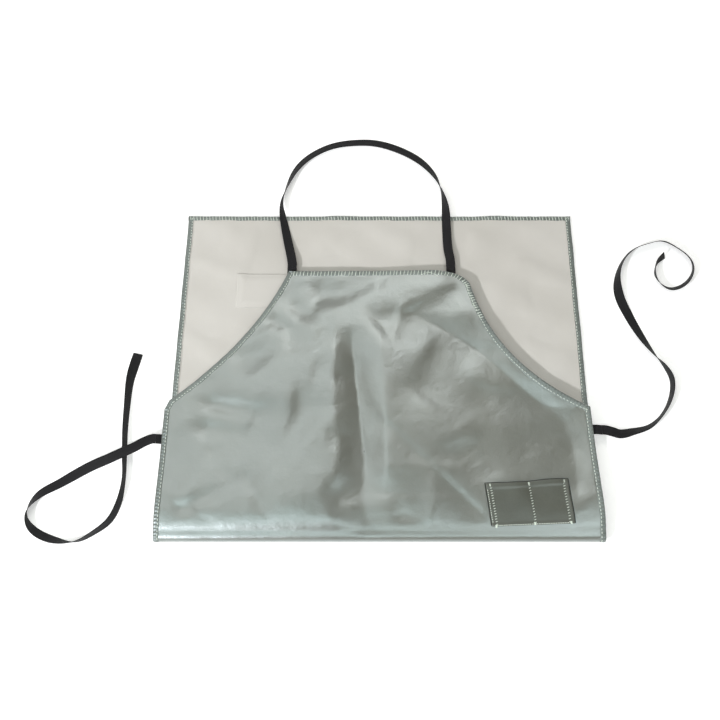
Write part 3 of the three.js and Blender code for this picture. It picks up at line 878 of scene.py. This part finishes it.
V_SIDE_LEFT = float(bib_v(SIDE_CORNER_LEFT[1] - CORNER_CUT))
V_SIDE_RIGHT = float(bib_v(SIDE_CORNER_RIGHT[1]))
V_CORNER_RIGHT = float(bib_v(BIB_CORNER_RIGHT[1]))


def edge_lines():
    """Each bound edge of the pattern as a line with the cloth on its left."""
    shoulder = V_CORNER_RIGHT + 12
    left_side = outline_stretch(LEFT_EDGE, 1.0, V_SIDE_LEFT)[::-1]
    right_side = outline_stretch(RIGHT_EDGE, 1.0, V_SIDE_RIGHT)
    left_armhole = outline_stretch(LEFT_EDGE, V_SIDE_LEFT, V_TOP)[::-1]
    right_armhole = outline_stretch(RIGHT_EDGE, V_SIDE_RIGHT, shoulder)
    corner = outline_stretch(RIGHT_EDGE, shoulder, V_TOP)
    top = np.vstack([corner, (BIB_CORNER_LEFT[0] + 1, V_TOP)])
    hem = np.array([(-HEM_HALF, 0), (HEM_HALF, 0)])
    right_shoulder = outline_stretch(RIGHT_EDGE, V_CORNER_RIGHT - 55, shoulder)
    return {"left_side": left_side, "right_side": right_side, "left_armhole": left_armhole,
            "right_armhole": right_armhole, "right_shoulder": right_shoulder, "top": top, "hem": hem}


EDGES = edge_lines()


def add_bindings():
    for side, seed in (("left", 3), ("right", 4)):
        piece, v = binding(f"side_binding_{side}", EDGES[f"{side}_side"], seed, 5.0)
        bend_at_fold(piece)
        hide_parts(f"skirt_side_binding_{side}", f"fold_binding_{side}", f"bib_side_binding_{side}")
    for name, line, node, body, seed, pitch, waviness in (
        ("armhole_edge_left", "left_armhole", "armhole_binding_left", "bib", 5, 4.6, 0.6),
        ("armhole_edge_right", "right_armhole", "armhole_binding_right", "bib", 6, 5.0, 0.3),
        ("bib_top_edge", "top", "bib_top_binding", "bib", 7, 5.2, 0.3),
        ("hem_edge", "hem", "skirt_hem_binding", "skirt", 8, 5.0, 0.4),
    ):
        piece, _ = binding(name, EDGES[line], seed, pitch, waviness)
        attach(piece, body)
        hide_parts(node)


# ---- Pocket and patch ----
def bilinear(corners, a, b):
    """A point of a four-sided shape: a runs from its left to its right, b from its bottom to its top."""
    top_left, top_right, bottom_right, bottom_left = (np.array(c, float) for c in corners)
    a, b = a[..., None], b[..., None]
    bottom = (1 - a) * bottom_left + a * bottom_right
    return (1 - b) * bottom + b * ((1 - a) * top_left + a * top_right)


POCKET_DIVIDER = 0.52


def pocket_height(a, b):
    """How far the pocket's cloth stands over the cover: nothing at its seams, most at its open top."""
    left = np.sin(np.pi * np.clip(a / POCKET_DIVIDER, 0, 1))
    right = np.sin(np.pi * np.clip((a - POCKET_DIVIDER) / (1 - POCKET_DIVIDER), 0, 1))
    return 0.25 + (left**0.9 + right**0.9) * (0.5 + 1.6 * np.clip(b, 0, 1) ** 2)


def pocket_place(a, b, over=0.0):
    xy = bilinear(POCKET_CORNERS, a, b)
    lip = 0.9 * np.sin(2 * np.pi * a + 2.6) * np.clip(b, 0, 1) ** 4
    return surface(xy[..., 0], bib_v(xy[..., 1] + lip), HALF_THICK + pocket_height(a, b) + over)


def closed_panel(name, a, b, place, material, uv):
    """A closed panel over a grid of a and b. place(a, b, 1) is its front and place(a, b, 0) its back."""
    points = np.vstack([place(a, b, 1.0).reshape(-1, 3), place(a, b, 0.0).reshape(-1, 3)])
    return add_mesh(name, points, slab_faces(*a.shape), material, np.tile(uv.reshape(-1, 2), (2, 1)))


def add_pocket():
    a, b = np.meshgrid(np.linspace(0, 1, 72), np.linspace(0, 1, 40))
    thick = 0.6 + 0.8 * smoothstep((b - 0.86) / 0.03) + 0.8 * smoothstep((0.05 - a) / 0.025)
    thick = thick + 0.8 * smoothstep((a - 0.95) / 0.025) + 0.5 * smoothstep((0.07 - b) / 0.03)
    panel = closed_panel("pocket", a, b, lambda p, q, over: pocket_place(p, q, over * thick),
                         POCKET, bilinear(POCKET_CORNERS, a, b))
    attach(panel, "bib")
    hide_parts("pocket_panel")


def add_patch():
    a, b = np.meshgrid(np.linspace(0, 1, 60), np.linspace(0, 1, 30))
    corners = PATCH_CORNERS[::-1]
    rim = np.minimum(np.minimum(a, 1 - a) * PATCH_WIDTH, np.minimum(b, 1 - b) * PATCH_HEIGHT)

    def place(p, q, over):
        xy = bilinear(corners, p, q)
        puff = 0.9 * smoothstep(rim / 9) - 0.25 * smoothstep((4 - abs(rim - 5)) / 2)
        return surface(xy[..., 0], skirt_v(xy[..., 1]), -(HALF_THICK + 0.1 + puff + over * 0.45))

    panel = closed_panel("lining_patch_cloth", a, b, place, LINING, bilinear(corners, a, b))
    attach(panel, "skirt")
    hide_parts("lining_patch")


# ---- Stitches ----
THREAD_SIDES = 6


def thread_mesh(name, strands, radius, material, body):
    """Many short strands of thread, each a list of points in millimetres, as one piece."""
    angles = np.linspace(0, 2 * math.pi, THREAD_SIDES, endpoint=False)
    points, faces = [], []
    for strand in strands:
        strand = np.asarray(strand, float)
        tangent = np.gradient(strand, axis=0)
        tangent /= np.linalg.norm(tangent, axis=1)[:, None]
        helper = np.array([0.0, 0.0, 1.0]) if abs(tangent[0][2]) < 0.8 else np.array([1.0, 0.0, 0.0])
        side = np.cross(tangent, helper)
        side /= np.linalg.norm(side, axis=1)[:, None]
        up = np.cross(side, tangent)
        taper = np.ones(len(strand))
        taper[[0, -1]] = 0.45
        first = len(points)
        for p, s, u, r in zip(strand, side, up, taper * radius):
            points.extend(p + r * (math.cos(k) * s + math.sin(k) * u) for k in angles)
        sides = grid_faces(len(strand), THREAD_SIDES, first, closed=True)
        faces += [tuple(reversed(f)) for f in sides]
        faces += end_caps(len(strand), THREAD_SIDES, first)
    piece = add_mesh(name, points, faces, material)
    if body is not None:
        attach(piece, body)
    return piece


STITCH_REACH = {"ladder": (0, 0.25), "run": (-0.3, 0.3)}
STITCH_POINTS = 6
STITCH_PROUD = 0.3


def edge_stitches(outline, face, kind, pitch, near, far, seed):
    """Stitches over a bound edge, between two distances from the edge. face is 1 on the cover's side."""
    line, inwards, at = edge_path(outline, 1.0)
    rng = np.random.default_rng(seed)
    strands, vs = [], []
    t = np.linspace(0, 1, STITCH_POINTS)
    lift = HALF_THICK + BINDING_PROUD + STITCH_PROUD * np.sin(np.pi * t) ** 0.6 - 0.15
    start, end = STITCH_REACH[kind]
    for s in np.arange(pitch / 2, at[-1] - pitch / 2, pitch):
        s = s + rng.uniform(-0.12, 0.12) * pitch
        along = s + pitch * (start + (end - start) * t)
        inward = near + (far - near) * t + rng.uniform(-0.2, 0.2)
        base = np.column_stack([np.interp(along, at, line[:, k]) for k in (0, 1)])
        way = np.column_stack([np.interp(along, at, inwards[:, k]) for k in (0, 1)])
        spot = base + way * inward[:, None]
        strands.append(surface(spot[:, 0], np.clip(spot[:, 1], 0, LENGTHS[-1] - 2), face * lift))
        vs.append(spot[:, 1])
    return strands, vs


def add_edge_rolls():
    """The lining's own thin turned edge, where it meets the skirt's binding."""
    inset = BINDING_WIDTH + 0.5
    side_end = float(skirt_v(-60))
    t = np.linspace(0, 1, 260)
    wobble = pucker(t * 500, 31, 0.35)
    for name, side, v in (
        ("lining_roll_left", -1, inset + (side_end - inset) * t),
        ("lining_roll_right", 1, inset + (side_end - inset) * t),
        ("lining_roll_hem", 2 * t - 1, inset + 0 * t),
    ):
        half = np.interp(v, RIGHT_EDGE[:, 1], RIGHT_EDGE[:, 0]) - inset
        across, along = (0, wobble) if name == "lining_roll_hem" else (wobble, 0)
        strand = surface(side * half + across, v + along, -(HALF_THICK + 0.25))
        piece = thread_mesh(name, [strand], 0.62, LINING, None)
        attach(piece, "skirt")


def add_loose_thread():
    t = np.linspace(0, 1, 24)
    arch = np.sin(np.pi * t)
    height = HALF_THICK + BINDING_PROUD + 0.35 + 0.3 * arch
    strand = surface(62 + 26 * t, V_TOP - 9 + 5 * arch - 3 * t, height)
    thread_mesh("loose_thread", [strand], 0.28, THREAD, "bib")


def add_edge_stitches():
    rows = (
        ("bib_top_stitches", "top", 1, "ladder", 5.2, 0.8, 8.6, "bib", 11),
        ("armhole_stitches_right", "right_armhole", 1, "run", 5.0, 6.4, 6.4, "bib", 12),
        ("armhole_edge_stitches_right", "right_shoulder", 1, "ladder", 4.2, 1.2, 8.0, "bib", 17),
        ("armhole_stitches_left", "left_armhole", 1, "run", 4.6, 6.6, 6.6, "bib", 13),
        ("hem_stitches", "hem", -1, "ladder", 5.0, 0.8, 8.0, "skirt", 14),
    )
    for name, line, face, kind, pitch, near, far, body, seed in rows:
        strands, _ = edge_stitches(EDGES[line], face, kind, pitch, near, far, seed)
        thread_mesh(name, strands, 0.48, THREAD, body)
    for side in ("left", "right"):
        for face, where in ((1, "front"), (-1, "lining")):
            strands, vs = edge_stitches(EDGES[f"{side}_side"], face, "run", 5.0, 6.3, 6.3, 15 + face)
            piece = thread_mesh(f"side_stitches_{side}_{where}", strands, 0.5, THREAD, None)
            bend_at_fold(piece)


def add_pocket_shade_line():
    """A near-black strand along the pocket's turned edge, round its two sides and its open top: painted
    shade of the gap between pocket and cover.
    """
    up = np.linspace(0.0, 1.0, 40)
    across = np.linspace(0.0, 1.0, 70)
    a = np.concatenate([0 * up, across[1:], 1 + 0 * up[1:]])
    b = np.concatenate([up, 1 + 0 * across[1:], up[::-1][1:]])
    strand = pocket_place(1.01 * a - 0.005, b + 0.004, 0.75)
    piece = thread_mesh("pocket_shade_line", [strand], 0.75, POCKET_SHADE_LINE, "bib")
    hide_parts("pocket_panel")


def seam_strands(start, end, count, reach, swing, seed):
    """Stitches along a straight seam of the pocket. reach is each one's share of its step."""
    rng = np.random.default_rng(seed)
    start, end = np.array(start, float), np.array(end, float)
    strands = []
    for n in range(count):
        t = np.linspace(n + 0.1, n + 0.1 + reach, 5) / count
        spots = start + (end - start) * t[:, None]
        spots[:, 0] += np.linspace(-swing, swing, 5)
        spots[:, 0] += rng.uniform(-0.15, 0.15) * 0.01
        lift = 0.35 * np.sin(np.pi * np.linspace(0, 1, 5)) ** 0.6
        strands.append(pocket_place(spots[:, 0], spots[:, 1], 0.85 + lift))
    return strands


def add_pocket_stitches():
    divider = POCKET_DIVIDER
    dash, run = 0.22, 0.9
    strands = []
    for seed, (start, end, count, reach, swing) in enumerate((
        ((0.062, 0.03), (0.057, 0.93), 15, dash, 0.014),
        ((0.945, 0.03), (0.945, 0.95), 15, dash, 0.014),
        ((divider + 0.01, 0.04), (divider, 0.95), 15, dash, 0.012),
        ((0.02, 0.02), (0.985, 0.02), 34, run, 0),
        ((0.015, 0.02), (0.012, 0.96), 18, run, 0),
    ), 1):
        strands += seam_strands(start, end, count, reach, swing, seed)
    t = np.linspace(-1, 1, 5)
    for a, b in ((0.05, 0.95), (0.955, 0.95), (divider, 0.95), (0.05, 0.0), (0.96, 0.02), (divider, 0.03)):
        for k in range(-2, 3):
            strands.append(pocket_place(a + 0.014 * t, b + 0 * t + k * 0.012, 0.95 + 0.3 * (1 - t**2)))
    piece = thread_mesh("pocket_stitches", strands, 0.46, THREAD, "bib")
    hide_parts("pocket_seam_thread")


# ---- Sewn ends of the tapes ----
def sewn_end(name, node, root, way):
    """The end of a tape that lies sewn under the bib's edge. way is the unit way out of the apron."""
    rows = np.linspace(-SEWN_LENGTH, 0, 22)
    across = np.array([-way[1], way[0]])
    section = tape_section()
    x = root[0] + way[0] * rows[:, None] + across[0] * section[None, :, 0]
    y = root[1] + way[1] * rows[:, None] + across[1] * section[None, :, 0]
    lower = -(HALF_THICK + BINDING_PROUD + 0.25 + TAPE_THICKNESS / 2)
    points = surface(x, bib_v(y), lower + section[None, :, 1])
    free = smoothstep((rows + SEWN_END_PROUD) / SEWN_END_PROUD)[:, None, None]
    level = ROOT_HEIGHT + TAPE_THICKNESS / 2 + section[None, :, 1] + 0 * x
    points = points * (1 - free) + np.stack([x, y, level], -1) * free
    count = len(section)
    faces = grid_faces(len(rows), count, closed=True) + end_caps(len(rows), count)
    uv = np.stack(np.broadcast_arrays(section[None, :, 0], rows[:, None]), -1)
    piece = add_mesh(name, points.reshape(-1, 3), faces, TAPE, uv.reshape(-1, 2))
    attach(piece, "bib")
    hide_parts(node)


def add_sewn_ends():
    for name, node, root, way in (
        ("neck_strap_end_left", "neck_strap_sewn_end_left", NECK_ROUTE[0], (0, 1)),
        ("neck_strap_end_right", "neck_strap_sewn_end_right", NECK_ROUTE[-1], (0, 1)),
        ("left_tie_end", "left_tie_sewn_end", LEFT_TIE_ROUTE[0], (-1, 0)),
        ("right_tie_end", "right_tie_sewn_end", RIGHT_TIE_ROUTE[0], (1, 0)),
    ):
        sewn_end(name, node, root, way)


# ---- Floor and light ----
FLOOR_GAP = 0.2


def add_backdrop():
    """A round floor that curves up into a low wall, all the way round."""
    flat_radius, bend, wall_top = 4200, 900, 3000
    turn = np.linspace(0, math.pi / 2, 12)
    profile = [(radius, 0) for radius in (1, 1400, 2800)]
    profile += [(flat_radius + bend * math.sin(t), bend * (1 - math.cos(t))) for t in turn]
    profile.append((flat_radius + bend, wall_top))
    angles = np.linspace(0, 2 * math.pi, 96, endpoint=False)
    points = [(r * math.cos(a), r * math.sin(a), z - FLOOR_GAP) for r, z in profile for a in angles]
    faces = grid_faces(len(profile), len(angles), closed=True)
    faces.append(tuple(range(len(angles))))
    add_mesh("floor", points, faces, backdrop_paper())


def add_light(name, place, target, size, watts, color):
    data = bpy.data.lights.new(name, "AREA")
    data.shape = "RECTANGLE"
    data.size, data.size_y = size[0] * MM, size[1] * MM
    data.energy = watts
    data.color = color
    light = bpy.data.objects.new(name, data)
    light.location = Vector(place) * MM
    way = Vector(target) - Vector(place)
    light.rotation_euler = way.to_track_quat("-Z", "Y").to_euler()
    bpy.context.collection.objects.link(light)


def add_lights():
    for light in (
        ("window", (-700, 560, 1500), (-150, 0, 0), (1110, 1200), 6.6, (0.96, 0.98, 0.95)),
        ("window_far", (120, 1060, 1500), (0, 100, 0), (560, 620), 5.8, (1.0, 0.97, 0.92)),
        ("front", (0, -840, 1500), (0, -500, 0), (2000, 220), 3.6, (0.92, 1.0, 0.98)),
        ("front_left", (-500, -500, 1500), (-480, -400, 0), (1000, 380), 2.6, (0.82, 1.0, 0.98)),
        ("front_right", (760, -470, 1500), (600, -300, 0), (640, 500), 4.4, (0.92, 1.0, 0.98)),
        ("key", (-1400, -1450, 1500), (0, 0, 0), (170, 170), 52, (0.96, 0.96, 0.98)),
    ):
        add_light(*light)
    world = bpy.data.worlds.new("studio")
    world.use_nodes = True
    sky = world.node_tree.nodes["Background"].inputs
    sky["Color"].default_value = (0.50, 0.42, 0.33, 1)
    sky["Strength"].default_value = 0.22
    bpy.context.scene.world = world
    bpy.context.scene.view_settings.view_transform = "Standard"


add_sheets()
add_bindings()
add_pocket()
add_patch()
add_edge_rolls()
add_edge_stitches()
add_loose_thread()
add_pocket_stitches()
add_pocket_shade_line()
add_sewn_ends()
add_backdrop()
add_lights()
